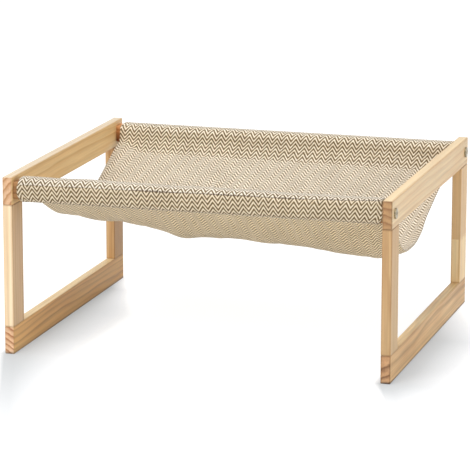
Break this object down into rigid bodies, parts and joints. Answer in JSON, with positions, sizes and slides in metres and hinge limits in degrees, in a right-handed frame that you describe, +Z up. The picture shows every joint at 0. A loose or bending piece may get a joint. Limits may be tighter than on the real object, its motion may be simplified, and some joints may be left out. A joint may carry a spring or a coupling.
{
  "type": "cat hammock bed",
  "caption": "Raised cat bed: rectangular wooden end frames joined by crossbars, with a herringbone cloth sling hanging between the bars.",
  "frame": {"origin": "on the floor, under the middle of the bed", "axes": "+X along the crossbars towards the right end frame, -Y to the front, +Z up"},
  "size_m": [0.5648, 0.48, 0.255],
  "materials": {
    "pine": "sanded and clear lacquered pine",
    "bar_wood": "planed pine, no lacquer",
    "beech": "plain beech dowel",
    "cloth": "woven herringbone, cream and brown",
    "steel": "nickel plated",
    "zinc_steel": "yellow zinc plated"
  },
  "bodies": {
    "root": {"left_bottom_rail": "pine", "left_top_rail": "pine", "left_front_post": "pine", "left_front_lower_pin_a": "beech", "left_front_lower_pin_b": "beech", "left_front_upper_pin_a": "beech", "left_front_upper_pin_b": "beech", "left_rear_post": "pine", "left_rear_lower_pin_a": "beech", "left_rear_lower_pin_b": "beech", "left_rear_upper_pin_a": "beech", "left_rear_upper_pin_b": "beech", "right_bottom_rail": "pine", "right_top_rail": "pine", "right_front_post": "pine", "right_front_lower_pin_a": "beech", "right_front_lower_pin_b": "beech", "right_front_upper_pin_a": "beech", "right_front_upper_pin_b": "beech", "right_rear_post": "pine", "right_rear_lower_pin_a": "beech", "right_rear_lower_pin_b": "beech", "right_rear_upper_pin_a": "beech", "right_rear_upper_pin_b": "beech", "front_crossbar": "bar_wood", "left_front_bolt": "steel", "left_front_insert": "zinc_steel", "right_front_bolt": "steel", "right_front_insert": "zinc_steel", "rear_crossbar": "bar_wood", "left_rear_bolt": "steel", "left_rear_insert": "zinc_steel", "right_rear_bolt": "steel", "right_rear_insert": "zinc_steel", "hammock_cloth": "cloth"}
  },
  "joints": []
}
